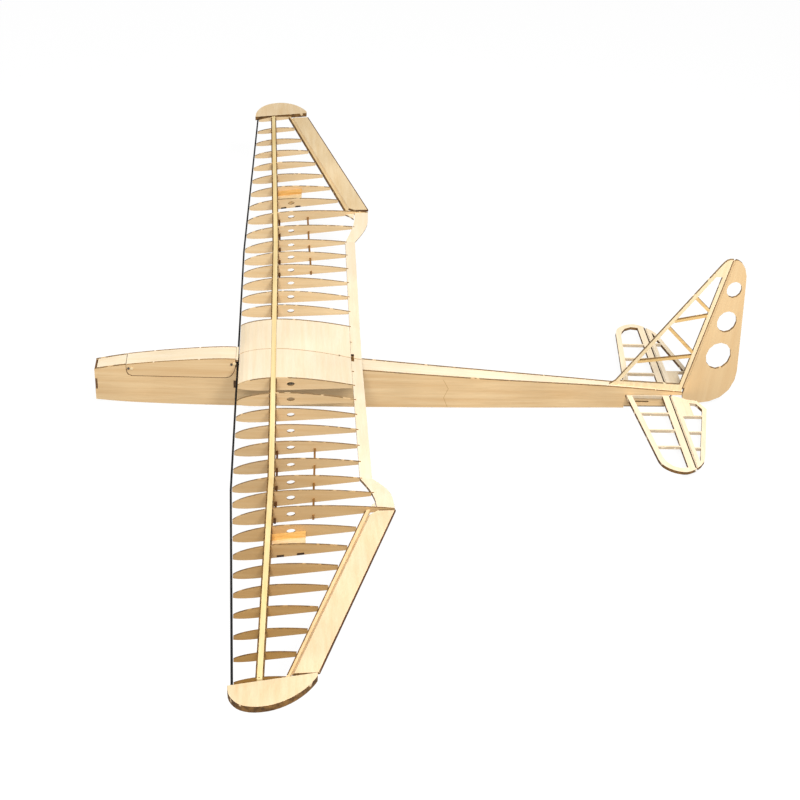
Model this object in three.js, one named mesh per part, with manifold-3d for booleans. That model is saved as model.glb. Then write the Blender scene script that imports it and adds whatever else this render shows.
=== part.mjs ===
// A balsa glider airframe of about 1.56 m span, uncovered: ribs, spars, sheet fuselage, open tail frames.
// Millimetres. +X is the nose, +Y the port side, +Z up. The origin is on the flat belly, in the plane of
// symmetry, under the main spar of the centre panel.
import * as THREE from "three";
import { mergeVertices } from "three/addons/utils/BufferGeometryUtils.js";
import Module from "manifold-3d";

// ---- driving dimensions ----
const GAP = 0.3; // between pieces that touch
const BAY = 41; // from rib to rib
const OUTER_BAY = 41.35; // the same in the outer panel, along its slope
const BREAK = 8; // rib station where the outer panel starts
const FLARE_END = 10; // rib station where the flared trailing edge ends and the aileron starts
const TIP = 18; // station of the tip plate's inner edge
const FIRST_RIB = 2; // ribs inboard of it are hidden under the centre sheeting
const LAST_RIB = 17;
const DIHEDRAL = THREE.MathUtils.degToRad(8.5);
const WASHOUT = { root: 0.02, outer: 0.15 }; // slope of the rib's flat bottom, rising aft
const LEADING_X = 54;
const LEADING_TAPER = 1.54; // aft shift of the leading edge for each outer bay
const DATUM_Z = 71.3; // height of the root rib's flat bottom at the leading edge
const ROD_RADIUS = 1.5;
const RIB_THICKNESS = 2.5;
const RIB_DEPTH = { inner: 22, perBay: 1.7 }; // greatest height, and its loss per bay past FLARE_END
const NOSE_SHARE = 0.33; // leading edge height as a share of the rib height
const CREST = { inner: 60, tip: 30 }; // distance from the leading edge to the highest point
const SPAR = { aft: 54, perBay: 2.38, width: 7, height: 3 };
const TRAILING = { front: 172.5, rear: 189, frontHeight: 4.5, rearHeight: 1.8 };
const FLARE = { front: 15.5, rear: 22, frontBays: 1.7, rearBays: 1.4 }; // extra chord of the flare
const SUB_SPAR = { aft: 173.4, perBay: 14.3, depth: 6.2, taper: 0.25, height: 5.5 }; // before the aileron
const AILERON = {
  inner: 10.12,
  outer: 17.9,
  chord: 33,
  taper: 0.32,
  gap: 0.8,
  bevel: 2.6,
  rear: 2.8,
  chamfer: 8,
};
const WIRE_HOLE = { x: -26, halfWidth: 5.8, halfHeight: 3.3, height: 10.5, last: 11 };
const TIP_PLATE = { thickness: 8, step: 0.04 };
const SHEET = 1.6; // centre sheeting
const TRAY = {
  ribs: [11, 12],
  middle: 11.5,
  length: 42,
  floor: 2,
  rail: 6,
  tabAt: [6, 31],
  tab: 8.4,
  slot: 2.2,
};
const WALL = 3; // fuselage side sheet
const DECK = 2.5; // fuselage top and bottom sheet
const HATCH = { front: 222.5, rear: 56.6, low: 50.5, seam: 0.5 };
const FORMER = 3;
const FORMER_X = 57.3;
const FORMER_TAB = { low: 33, high: 46 };
const NOSE_X = 270;
const SEAT = { front: 60, rear: -134.4, zFront: 70.6, zRear: 74.5 };
const TAIL_END = -645;
const LOWER_END = -554.2; // where the sides' lower part stops and the stabilizer slot opens
const LEDGE_END = -622;
const STAB_Z = { low: 18.9, high: 23.9 };
const STRIP_Z = 24.9; // underside of the sides' upper part, over the stabilizer
const TAIL_THICKNESS = 4; // fin and rudder
const HINGE_X = -625.6; // elevator hinge line
const HINGE_Z = (STAB_Z.low + STAB_Z.high) / 2;
const FIN_HINGE = { x: -646, z: 30, rake: 0.162 }; // rudder hinge line, leaning aft as it rises

// Fuselage stations: half width, top and bottom of the sides.
const BODY = [
  { x: 270, half: 15, top: 61, bottom: 6 },
  { x: 225, half: 16, top: 70, bottom: 2.8 },
  { x: 139, half: 17.3, top: 80.4, bottom: 0.5 },
  { x: 57, half: 18, top: 84.7, bottom: 0 },
  { x: -138, half: 17.5, top: 67.8, bottom: 0 },
  { x: -323, half: 14.5, top: 53.5, bottom: 0 },
  { x: -523, half: 8.8, top: 40.2, bottom: 0 },
  { x: -645, half: 7, top: 29.6, bottom: 0 },
];

const COLORS = {
  balsa: 0xfbe8cb,
  cutBalsa: 0xd2ae7c,
  pine: 0xffdf94,
  ply: 0xb98446,
  carbon: 0x17181a,
};

const wasm = await Module();
wasm.setup();

// ---- geometry helpers ----
// A closed geometry as a solid, turned right way out if its faces point inwards.
function solid(geometry) {
  const bare = new THREE.BufferGeometry();
  bare.setAttribute("position", geometry.getAttribute("position").clone());
  if (geometry.index) bare.setIndex(geometry.index.clone());
  const merged = mergeVertices(bare, 1e-4);
  const triVerts = new Uint32Array(merged.index.array);
  const vertProperties = new Float32Array(merged.attributes.position.array);
  const made = new wasm.Manifold(new wasm.Mesh({ numProp: 3, vertProperties, triVerts }));
  if (made.volume() >= 0) return made;
  for (let i = 0; i < triVerts.length; i += 3) {
    [triVerts[i], triVerts[i + 1]] = [triVerts[i + 1], triVerts[i]];
  }
  return new wasm.Manifold(new wasm.Mesh({ numProp: 3, vertProperties, triVerts }));
}

function geometryOf(made) {
  const mesh = made.getMesh();
  const positions = new Float32Array(mesh.numVert * 3);
  for (let i = 0; i < mesh.numVert; i++) {
    positions.set(mesh.vertProperties.subarray(i * mesh.numProp, i * mesh.numProp + 3), i * 3);
  }
  const geometry = new THREE.BufferGeometry();
  geometry.setAttribute("position", new THREE.BufferAttribute(positions, 3));
  geometry.setIndex(new THREE.BufferAttribute(new Uint32Array(mesh.triVerts), 1));
  geometry.computeVertexNormals();
  return geometry;
}

// Moves every vertex (u, v, w) of a geometry to place(u, v, w) = [x, y, z].
function bend(geometry, place) {
  const positions = geometry.getAttribute("position");
  for (let i = 0; i < positions.count; i++) {
    positions.setXYZ(i, ...place(positions.getX(i), positions.getY(i), positions.getZ(i)));
  }
  return geometry;
}

function shapeOf(points) {
  return new THREE.Shape(points.map(([u, v]) => new THREE.Vector2(u, v)));
}

// A flat plate cut to an outline, w running from low to high, placed point by point.
function plate(shape, low, high, place) {
  const options = { depth: high - low, bevelEnabled: false, steps: 1, curveSegments: 6 };
  const geometry = new THREE.ExtrudeGeometry(shape, options);
  return solid(bend(geometry, (u, v, w) => place(u, v, w + low)));
}

// A skin through sections that all have the same number of [x, y, z] corners, capped at both ends.
// The corners' own outline, as (u, v) pairs, is what the caps are triangulated from.
function loft(sections, outline) {
  const corners = outline.length;
  const index = [];
  for (let s = 0; s + 1 < sections.length; s++) {
    for (let c = 0; c < corners; c++) {
      const a = s * corners + c;
      const b = s * corners + ((c + 1) % corners);
      index.push(a, b, b + corners, a, b + corners, a + corners);
    }
  }
  const flat = outline.map(([u, v]) => new THREE.Vector2(u, v));
  const last = (sections.length - 1) * corners;
  const turn = THREE.ShapeUtils.isClockWise(flat) ? -1 : 1;
  for (const [a, b, c] of THREE.ShapeUtils.triangulateShape(flat, [])) {
    const [p, q] = turn > 0 ? [b, c] : [c, b];
    index.push(a, q, p, last + a, last + p, last + q);
  }
  const geometry = new THREE.BufferGeometry();
  geometry.setAttribute("position", new THREE.Float32BufferAttribute(sections.flat(2), 3));
  geometry.setIndex(index);
  return solid(geometry);
}

// A straight bar of a given width between two points of a flat frame, in that frame's own (u, v).
function bar([u0, v0], [u1, v1], width) {
  const length = Math.hypot(u1 - u0, v1 - v0);
  const nu = (-(v1 - v0) / length) * (width / 2);
  const nv = ((u1 - u0) / length) * (width / 2);
  return shapeOf([
    [u0 + nu, v0 + nv],
    [u1 + nu, v1 + nv],
    [u1 - nu, v1 - nv],
    [u0 - nu, v0 - nv],
  ]);
}

function joined(solids) {
  return solids.reduce((whole, next) => whole.add(next));
}

// ---- wing surface ----
function outerBays(station) {
  return Math.max(Math.abs(station) - BREAK, 0);
}

function washout(station) {
  const share = Math.min(Math.abs(station) / BREAK, 1);
  return WASHOUT.root + (WASHOUT.outer - WASHOUT.root) * share;
}

function leadingX(station) {
  return LEADING_X - LEADING_TAPER * outerBays(station);
}

function sparAft(station) {
  return SPAR.aft - SPAR.perBay * outerBays(station);
}

function ribDepth(station) {
  return RIB_DEPTH.inner - RIB_DEPTH.perBay * Math.max(Math.abs(station) - FLARE_END, 0);
}

// A point of the wing: aft of the leading edge, above the rib's flat bottom, and across the rib.
function onWing(station, aft, height, across = 0) {
  const side = station < 0 ? -1 : 1;
  const k = Math.abs(station);
  const outer = outerBays(k);
  const lean = k > BREAK ? DIHEDRAL : k === BREAK ? DIHEDRAL / 2 : 0;
  const reach = Math.min(k, BREAK) * BAY + outer * OUTER_BAY * Math.cos(DIHEDRAL);
  const rise = DATUM_Z + outer * OUTER_BAY * Math.sin(DIHEDRAL) + aft * washout(k);
  const y = reach - height * Math.sin(lean) + across * Math.cos(lean);
  const z = rise + height * Math.cos(lean) + across * Math.sin(lean);
  return [leadingX(k) - aft, side * y, z];
}

function flare(station, extra, bays) {
  const share = Math.min(Math.max(Math.abs(station) - BREAK, 0) / bays, 1);
  return extra * Math.sin((share * Math.PI) / 2);
}

function trailingFront(station) {
  return TRAILING.front + flare(station, FLARE.front, FLARE.frontBays);
}

function trailingRear(station) {
  return TRAILING.rear + flare(station, FLARE.rear, FLARE.rearBays);
}

function subSparAft(station) {
  return SUB_SPAR.aft - SUB_SPAR.perBay * (Math.abs(station) - FLARE_END);
}

function subSparRear(station) {
  return subSparAft(station) + SUB_SPAR.depth - SUB_SPAR.taper * (Math.abs(station) - FLARE_END);
}

// Where a rib ends, and how high it is there.
function ribTail(station) {
  const k = Math.abs(station);
  const innerFace = k - RIB_THICKNESS / BAY;
  if (k < FLARE_END) return { aft: trailingFront(innerFace) - GAP, height: TRAILING.frontHeight + 0.5 };
  if (k === FLARE_END) return { aft: trailingRear(k), height: TRAILING.rearHeight };
  return { aft: subSparAft(k + RIB_THICKNESS / BAY) - GAP, height: SUB_SPAR.height };
}

function crestAft(station) {
  const share = Math.max(Math.abs(station) - FLARE_END, 0) / (TIP - FLARE_END);
  return CREST.inner + (CREST.tip - CREST.inner) * share;
}

function upper(station, aft) {
  const depth = ribDepth(station);
  const crest = crestAft(station);
  if (aft < crest) {
    const rise = Math.sqrt(1 - (1 - aft / crest) ** 2);
    return depth * (NOSE_SHARE + (1 - NOSE_SHARE) * rise);
  }
  const tail = ribTail(station);
  return depth - (depth - tail.height) * ((aft - crest) / (tail.aft - crest)) ** 1.6;
}

function lower(station, aft) {
  const flatFrom = crestAft(station) * 0.72;
  if (aft >= flatFrom) return 0;
  return ribDepth(station) * NOSE_SHARE * (1 - Math.sqrt(1 - (1 - aft / flatFrom) ** 2));
}

// ---- wing pieces ----
function ribShape(station) {
  const start = ROD_RADIUS + 0.5;
  const end = ribTail(station).aft;
  const notchFront = sparAft(station) - SPAR.width / 2 - GAP;
  const notchRear = sparAft(station) + SPAR.width / 2 + GAP;
  const notch = SPAR.height + GAP;
  const nose = [0, 0.04, 0.12, 0.25, 0.45, 0.7].map((t) => start + (notchFront - start) * t);
  const tail = [0.12, 0.28, 0.44, 0.6, 0.76, 0.9, 1].map((t) => notchRear + (end - notchRear) * t);
  const floor = [0, 0.06, 0.18, 0.4, 0.7].map((t) => start + (notchFront - start) * t);
  const top = upper(station, sparAft(station)) - notch;
  const points = [
    ...nose.map((aft) => [aft, upper(station, aft)]),
    [notchFront, upper(station, notchFront)],
    [notchFront, top],
    [notchRear, top],
    [notchRear, upper(station, notchRear)],
    ...tail.map((aft) => [aft, upper(station, aft)]),
    [end, 0],
    [notchRear, 0],
    [notchRear, notch],
    [notchFront, notch],
    [notchFront, lower(station, notchFront)],
    ...floor.reverse().map((aft) => [aft, lower(station, aft)]),
  ];
  return shapeOf(points);
}

function trayFront() {
  return sparAft(TRAY.middle) + SPAR.width / 2 + 2;
}

function rib(side, k) {
  const shape = ribShape(k);
  if (k <= WIRE_HOLE.last) {
    const hole = new THREE.Path();
    const aft = leadingX(k) - WIRE_HOLE.x;
    hole.absellipse(aft, WIRE_HOLE.height, WIRE_HOLE.halfWidth, WIRE_HOLE.halfHeight, 0, Math.PI * 2);
    shape.holes.push(hole);
  }
  const half = RIB_THICKNESS / 2;
  const place = (aft, height, across) => onWing(side * k, aft, height, across);
  const whole = plate(shape, -half, half, place);
  if (!TRAY.ribs.includes(k)) return whole;
  const slots = TRAY.tabAt.map((at) => {
    const front = trayFront() + at + leadingX(k) - leadingX(TRAY.middle);
    return plate(rectangle(front, 0.9, front + TRAY.tab + 2 * GAP, 0.9 + TRAY.slot), -4, 4, place);
  });
  return slots.reduce((left, slot) => left.subtract(slot), whole);
}

// A strip along the wing whose section at each station is the list of [aft, height] that section() gives.
function spanwise(stations, section) {
  return loft(
    stations.map((k) => section(k).map(([aft, height]) => onWing(k, aft, height))),
    section(stations[0]),
  );
}

// The same stations on both sides of the centre rib, from tip to tip.
function bothWays(stations) {
  return [...stations.map((k) => -k).reverse(), 0, ...stations];
}

function leadingRod() {
  const round = Array.from({ length: 8 }, (_, i) => (i * Math.PI) / 4);
  const ends = bothWays([BREAK, FLARE_END, TIP + 0.15]);
  return spanwise(ends, (k) => {
    const centre = ribDepth(k) * NOSE_SHARE;
    return round.map((a) => [ROD_RADIUS * Math.cos(a), centre + ROD_RADIUS * Math.sin(a)]);
  });
}

function sparCap(top) {
  const outboard = Array.from({ length: TIP - BREAK }, (_, i) => BREAK + i);
  const stations = bothWays([...outboard, TIP + 0.08]);
  return spanwise(stations, (k) => {
    const half = SPAR.width / 2 - 0.05 * outerBays(k);
    const low = top ? upper(k, sparAft(k)) - SPAR.height : 0;
    return [
      [sparAft(k) - half, low],
      [sparAft(k) + half, low],
      [sparAft(k) + half, low + SPAR.height],
      [sparAft(k) - half, low + SPAR.height],
    ];
  });
}

function trailingEdge() {
  const end = FLARE_END - (RIB_THICKNESS / 2 + GAP) / BAY;
  const flared = [0.25, 0.5, 0.8, 1.1, 1.4].map((bays) => BREAK + bays);
  return spanwise(bothWays([BREAK, ...flared, end]), (k) => [
    [trailingFront(k), 0.2],
    [trailingRear(k), 0.2],
    [trailingRear(k), TRAILING.rearHeight],
    [trailingFront(k), TRAILING.frontHeight],
  ]);
}

function subSpar(side) {
  const stations = [FLARE_END + (RIB_THICKNESS / 2 + GAP) / BAY, TIP + 0.03];
  return spanwise(
    stations.map((k) => side * k),
    (k) => [
      [subSparAft(k), 0.2],
      [subSparRear(k), 0.2],
      [subSparRear(k), SUB_SPAR.height - 0.4],
      [subSparAft(k), SUB_SPAR.height],
    ],
  );
}

// Its front is bevelled above and below, and its inner front corner is cut off.
function aileron(side) {
  const stations = [AILERON.inner, AILERON.inner + 0.2, AILERON.outer].map((k) => side * k);
  return spanwise(stations, (k) => {
    const cut = k === stations[0] ? AILERON.chamfer : 0;
    const hinge = subSparRear(k) + AILERON.gap;
    const rear = hinge + AILERON.chord - AILERON.taper * (Math.abs(k) - FLARE_END);
    const top = SUB_SPAR.height - 0.4;
    return [
      [hinge + cut, (0.2 + top) / 2],
      [hinge + cut + AILERON.bevel, 0.2],
      [rear, 0.2],
      [rear, AILERON.rear],
      [hinge + cut + AILERON.bevel, top],
    ];
  });
}

// The D-shaped tip: its inner edge along the last station, bowed outward and swept to the aileron's rear.
function tipPlate(side) {
  const rim = [
    [-5, 7],
    [-4, 21],
    [1, 33],
    [9, 42],
    [22, 47.5],
    [38, 48],
    [53, 44],
    [68, 35.5],
    [81, 23.5],
    [92, 8],
    [93, 1],
  ];
  const curve = new THREE.SplineCurve(rim.map(([u, v]) => new THREE.Vector2(u, v)));
  const shape = new THREE.Shape(curve.getPoints(24));
  return plate(shape, 0.2, TIP_PLATE.thickness, (aft, out, height) =>
    onWing(side * (TIP + TIP_PLATE.step + out / BAY), aft, height),
  );
}

// Thin skin over the ribs of the centre bays, from one distance aft to another.
function centreSheet(front, rear) {
  const edge = FIRST_RIB - (RIB_THICKNESS / 2 + GAP) / BAY;
  const steps = Array.from({ length: 8 }, (_, i) => front + ((rear - front) * i) / 7);
  return spanwise([-edge, 0, edge], (k) => [
    ...steps.map((aft) => [aft, upper(k, aft)]),
    ...steps.toReversed().map((aft) => [aft, upper(k, aft) - SHEET]),
  ]);
}

// Floor, rails and tabs of the servo tray between ribs 11 and 12.
function servoTray(side) {
  const front = trayFront();
  const half = BAY / 2 - RIB_THICKNESS / 2 - GAP;
  const place = (aft, height, across) => onWing(side * TRAY.middle, front + aft, height, across);
  const piece = (u0, v0, u1, v1, low, high) =>
    plate(rectangle(u0, v0, u1, v1), low, high, place);
  const base = 0.9 + GAP;
  const tabs = [-1, 1].flatMap((end) =>
    TRAY.tabAt.map((at) => {
      const reach = [end * (half - 1), end * (half + 4)].sort((p, q) => p - q);
      return piece(at + GAP, base, at + GAP + TRAY.tab, base + TRAY.slot - 2 * GAP, ...reach);
    }),
  );
  return joined([
    piece(0, base, TRAY.length, base + TRAY.floor, -half, half),
    piece(0, base, TRAY.length, base + TRAY.floor + TRAY.rail, -half, 5 - half),
    piece(0, base, TRAY.length, base + TRAY.floor + TRAY.rail, half - 5, half),
    ...tabs,
  ]);
}

// ---- fuselage ----
// One of the station values at any x, on a smooth curve through the stations.
function bodyAt(x, name) {
  const last = BODY.length - 1;
  let i = BODY.findIndex((station, n) => n < last && x >= BODY[n + 1].x);
  if (i < 0) i = last - 1;
  const slope = (n) => {
    const a = BODY[Math.max(n - 1, 0)];
    const b = BODY[Math.min(n + 1, last)];
    return (b[name] - a[name]) / (b.x - a.x);
  };
  const a = BODY[i];
  const b = BODY[i + 1];
  const span = b.x - a.x;
  const t = (x - a.x) / span;
  const straight = name === "half" || (a.x > 0 && b.x < 0);
  if (straight) return a[name] + (b[name] - a[name]) * t;
  const h = [2 * t ** 3 - 3 * t ** 2 + 1, t ** 3 - 2 * t ** 2 + t, 3 * t ** 2 - 2 * t ** 3, t ** 3 - t ** 2];
  return h[0] * a[name] + h[1] * span * slope(i) + h[2] * b[name] + h[3] * span * slope(i + 1);
}

function stationsBetween(high, low, step) {
  const count = Math.ceil((high - low) / step);
  return Array.from({ length: count + 1 }, (_, i) => high - ((high - low) * i) / count);
}

// A tall slab that follows one side of the fuselage; profiles are cut out of it.
function wallSlab(side) {
  const xs = [NOSE_X + 4, ...BODY.slice(1, -1).map((station) => station.x), TAIL_END - 4];
  const rows = xs.map((x) => {
    const out = side * bodyAt(x, "half");
    const inner = out - side * WALL;
    return [
      [x, out, -10],
      [x, out, 110],
      [x, inner, 110],
      [x, inner, -10],
    ];
  });
  return loft(rows, [
    [0, 0],
    [0, 1],
    [1, 1],
    [1, 0],
  ]);
}

// A profile in the side view, run right across the fuselage.
function acrossBody(shape) {
  return plate(shape, -40, 40, (x, z, y) => [x, y, z]);
}

function rectangle(x0, z0, x1, z1) {
  return shapeOf([
    [x0, z0],
    [x1, z0],
    [x1, z1],
    [x0, z1],
  ]);
}

// Side view of the hatch: round lower corners, and a rear edge that leans forward as it falls.
function hatchOutline(grow) {
  const top = 100;
  const low = HATCH.low - grow;
  const front = HATCH.front + grow;
  const rear = HATCH.rear - grow;
  const shape = new THREE.Shape();
  shape.moveTo(front, top);
  shape.lineTo(front, low + 12);
  shape.quadraticCurveTo(front, low, front - 9, low);
  shape.lineTo(rear + 16, low);
  shape.bezierCurveTo(rear + 5, low, rear + 1, low + 14, rear, low + 24);
  shape.lineTo(rear, top);
  shape.closePath();
  return shape;
}

function sideProfile() {
  const top = (x) => [x, bodyAt(x, "top")];
  const bottom = (x) => [x, bodyAt(x, "bottom")];
  return shapeOf([
    ...stationsBetween(NOSE_X, SEAT.front, 24).map(top),
    [SEAT.front, SEAT.zFront],
    [SEAT.rear, SEAT.zRear],
    ...stationsBetween(SEAT.rear, TAIL_END, 60).map(top),
    [TAIL_END, STRIP_Z],
    [LOWER_END, STRIP_Z],
    [LOWER_END, 0],
    ...stationsBetween(57, NOSE_X, -30).map(bottom),
  ]);
}

function fuselageSide(side) {
  const blank = wallSlab(side).intersect(acrossBody(sideProfile()));
  const slots = [
    hatchOutline(0),
    rectangle(NOSE_X - FORMER - 0.6, 25, NOSE_X + 1, 44),
    rectangle(FORMER_X - GAP, FORMER_TAB.low - GAP, FORMER_X + FORMER + GAP, FORMER_TAB.high + GAP),
  ];
  return slots.reduce((wall, slot) => wall.subtract(acrossBody(slot)), blank);
}

// A sheet between the sides, its outer face flush with their top or bottom edge.
function deck(from, to, name, step) {
  const rows = stationsBetween(from, to, step).map((x) => {
    const half = bodyAt(x, "half") - WALL - GAP;
    const edge = bodyAt(x, name);
    const inner = name === "top" ? edge - DECK : edge + DECK;
    return [
      [x, -half, inner],
      [x, half, inner],
      [x, half, edge],
      [x, -half, edge],
    ];
  });
  return loft(rows, [
    [0, 0],
    [1, 0],
    [1, 1],
    [0, 1],
  ]);
}

function noseFormer() {
  const x = NOSE_X - FORMER - 0.2;
  const half = bodyAt(x, "half") - WALL - GAP;
  const thick = [x, x + FORMER];
  const upright = (y0, z0, y1, z1) =>
    plate(rectangle(y0, z0, y1, z1), ...thick, (y, z, along) => [along, y, z]);
  const body = upright(-half, bodyAt(x, "bottom") + 0.6, half, bodyAt(NOSE_X, "top") - 0.3);
  const tabs = upright(-half - WALL, 25.4, half + WALL, 43.6);
  return body.add(tabs);
}

function wingFormer() {
  const half = bodyAt(FORMER_X, "half") - WALL - GAP;
  const upright = (y0, z0, y1, z1) =>
    plate(rectangle(y0, z0, y1, z1), FORMER_X, FORMER_X + FORMER, (y, z, along) => [along, y, z]);
  const low = DECK + 0.6;
  const frame = upright(-half, low, half, 74).subtract(upright(-half + 6, 14, half - 6, 40));
  return frame.add(upright(-half - WALL, FORMER_TAB.low, half + WALL, FORMER_TAB.high));
}

function tailLedge() {
  const outline = rectangle(LEDGE_END, DECK + GAP, LOWER_END - 0.4, STAB_Z.low - 0.4);
  const block = plate(outline, -6, 6, (x, z, y) => [x, y, z]);
  const slot = plate(rectangle(-594, 9.8, -572, 12.2), -40, 40, (x, z, y) => [x, y, z]);
  return block.subtract(slot);
}

// Top sheet of the hatch with the two cheeks that hang from it.
function hatch() {
  const cheeks = [1, -1].map((side) => {
    const shape = hatchOutline(-HATCH.seam);
    const skin = wallSlab(side).intersect(acrossBody(shape));
    return skin.intersect(acrossBody(underTop()));
  });
  const rows = stationsBetween(HATCH.front - HATCH.seam, HATCH.rear + HATCH.seam, 24).map((x) => {
    const half = bodyAt(x, "half") - WALL + 0.6;
    const top = bodyAt(x, "top");
    return [
      [x, -half, top - DECK],
      [x, half, top - DECK],
      [x, half, top],
      [x, -half, top],
    ];
  });
  const roof = loft(rows, [
    [0, 0],
    [1, 0],
    [1, 1],
    [0, 1],
  ]);
  return joined([roof, ...cheeks]);
}

// Everything in the side view that lies below the fuselage's top line, over the hatch.
function underTop() {
  const xs = stationsBetween(HATCH.front + 5, HATCH.rear - 3.8, 24);
  return shapeOf([...xs.map((x) => [x, bodyAt(x, "top")]), [xs.at(-1), 20], [xs[0], 20]]);
}

// ---- tail ----
function mirroredPoints(points) {
  return [...points, ...points.toReversed().map(([x, y]) => [x, -y])];
}

function flatOnTail(shape) {
  return plate(shape, STAB_Z.low, STAB_Z.high, (x, y, z) => [x, y, z]);
}

function stabLeading(y) {
  return -555.2 - 0.1 * y;
}

function stabilizer() {
  const rear = HINGE_X + 0.8;
  const tip = [
    [stabLeading(176), 176],
    [-577, 188],
    [-586, 197.5],
    [-598, 203.5],
    [-611, 204.5],
    [rear, 197.5],
  ];
  const curve = new THREE.SplineCurve(tip.map(([x, y]) => new THREE.Vector2(x, y)));
  const round = curve.getPoints(14).map((p) => [p.x, p.y]);
  const blank = flatOnTail(shapeOf(mirroredPoints([[stabLeading(0), 0.01], ...round])));
  const strip = 8.5;
  const spar = HINGE_X + 12;
  const bays = [
    [9, 54, 0],
    [56.8, 98, 0.4],
    [100.8, 140, 0.1],
  ];
  const windows = bays.map(([a, b, inset]) => [
    [stabLeading(a) - strip - inset, a],
    [spar, a],
    [spar, b],
    [stabLeading(b) - strip - inset, b],
  ]);
  windows.push([
    [stabLeading(142.8) - strip, 142.8],
    [spar, 142.8],
    [spar, 193.5],
    [-602, 195.5],
    [-591, 190],
    [-584, 180],
    [stabLeading(168) - strip, 168],
  ]);
  return windows.reduce((frame, points) => {
    const across = points.map(([x, y]) => [x, -y]);
    return frame.subtract(flatOnTail(shapeOf(points))).subtract(flatOnTail(shapeOf(across)));
  }, blank);
}

function elevatorTrailing(y) {
  return -677 + 0.254 * (y - 43);
}

function elevator() {
  const front = HINGE_X - 2.6;
  const rim = [
    [front, 8.2],
    [-632, 8.2],
    [-651.5, 17.6],
    [-666, 20.8],
    [-677, 43],
    [elevatorTrailing(165), 165],
    [-641.5, 178],
    [-634.5, 188],
    [front, 194],
  ];
  const windows = [
    [
      [-652.5, 27],
      [-663, 29],
      [-669.5, 44],
      [elevatorTrailing(60.5) + 7, 60.5],
      [-652.5, 60.5],
    ],
    [
      [HINGE_X - 9, 63.2],
      [HINGE_X - 9, 102.5],
      [elevatorTrailing(102.5) + 7, 102.5],
      [elevatorTrailing(63.2) + 7, 63.2],
    ],
    [
      [HINGE_X - 9, 105.2],
      [HINGE_X - 9, 143.4],
      [elevatorTrailing(143.4) + 7.6, 143.4],
      [elevatorTrailing(105.2) + 7.3, 105.2],
    ],
    [
      [HINGE_X - 9, 146.1],
      [HINGE_X - 9, 179],
      [-636.5, 175],
      [elevatorTrailing(163) + 7.5, 163],
      [elevatorTrailing(146.1) + 7, 146.1],
    ],
  ];
  const half = (side) => {
    const mirrored = (points) => shapeOf(points.map(([x, y]) => [x, side * y]));
    const blank = flatOnTail(mirrored(rim));
    const nose = loft(
      [8.8, 192.6].map((y) => [
        [HINGE_X, side * y, HINGE_Z],
        [front - 0.4, side * y, STAB_Z.low + 0.15],
        [front - 0.4, side * y, STAB_Z.high - 0.15],
      ]),
      [
        [0, 0],
        [1, -1],
        [1, 1],
      ],
    );
    const frame = windows.reduce((left, points) => left.subtract(flatOnTail(mirrored(points))), blank);
    return frame.add(nose);
  };
  const dowel = rectangle(front - 2.6, -10, front - 0.3, 10);
  const joiner = plate(dowel, STAB_Z.low + 0.6, STAB_Z.low + 3, (x, y, z) => [x, y, z]);
  return joined([half(1), half(-1), joiner]);
}

function upright(shape, thickness) {
  return plate(shape, -thickness / 2, thickness / 2, (x, z, y) => [x, y, z]);
}

function finHingeX(z) {
  return FIN_HINGE.x - FIN_HINGE.rake * (z - FIN_HINGE.z);
}

function finLeadingX(z) {
  return -526.6 - 0.6215 * (z - 31.4);
}

function fin() {
  const strut = 4.6;
  const rear = 0.9;
  const seat = (x) => bodyAt(x, "top") + GAP;
  const base = stationsBetween(-527, TAIL_END + 1, 40);
  const rim = shapeOf([
    ...base.map((x) => [x, seat(x)]),
    [finHingeX(seat(TAIL_END)) + rear, seat(TAIL_END)],
    [finHingeX(268.2) + rear, 268.2],
    [-678.6, 267.9],
    [-674.2, 266.2],
    [-670.4, 262.2],
    [finLeadingX(256), 256],
    [finLeadingX(47), 47],
  ]);
  const inset = 7;
  const post = 8;
  const inner = shapeOf([
    [finLeadingX(46) - inset, 46.5],
    [finHingeX(40) + post, 41.5],
    [finHingeX(238) + post, 238],
    [finLeadingX(238) - inset, 238],
  ]);
  const struts = [
    [[-562, 82.5], [finHingeX(95) + 3, 95.5]],
    [[-600, 151.5], [finHingeX(97) + 3, 98]],
    [[-606, 156.5], [finHingeX(170) + 3, 170.5]],
    [[-633, 205.5], [finHingeX(173) + 3, 174]],
  ];
  const blank = upright(rim, TAIL_THICKNESS);
  const frame = blank.subtract(upright(inner, TAIL_THICKNESS + 2));
  const braces = struts.map(([from, to]) => upright(bar(from, to, strut), TAIL_THICKNESS));
  return joined([frame, ...braces.map((brace) => brace.intersect(blank))]);
}

function rudder() {
  const front = 2.4;
  const rim = [
    [finHingeX(267.8) - front, 267.8],
    [-691.5, 266.6],
    [-697.5, 262.4],
    [-703.5, 254],
    [-708, 241],
    [-710.5, 222],
    [-727, 70],
    [-726.5, 52],
    [-720.5, 33],
    [-709, 19],
    [-693, 10.5],
    [-677, 7.5],
    [-661, 10.5],
    [-648.5, 16],
    [-647.5, 24],
    [finHingeX(34) - front, 34],
  ];
  const shape = shapeOf(rim);
  const holes = [
    [-693.8, 216.4, 11.6, 14],
    [-693.2, 159.3, 15.2, 19],
    [-691.8, 96.9, 19.6, 24.4],
  ];
  for (const [x, z, across, tall] of holes) {
    const hole = new THREE.Path();
    hole.absellipse(x, z, across, tall, 0, Math.PI * 2);
    shape.holes.push(hole);
  }
  const blank = upright(shape, TAIL_THICKNESS);
  const nose = loft(
    [34.3, 266.5].map((z) => [
      [finHingeX(z), 0, z],
      [finHingeX(z) - front - 0.4, 0.15 - TAIL_THICKNESS / 2, z],
      [finHingeX(z) - front - 0.4, TAIL_THICKNESS / 2 - 0.15, z],
    ]),
    [
      [0, 0],
      [1, -1],
      [1, 1],
    ],
  );
  return blank.add(nose);
}

// ---- assembly ----
const glider = new THREE.Group();

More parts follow.
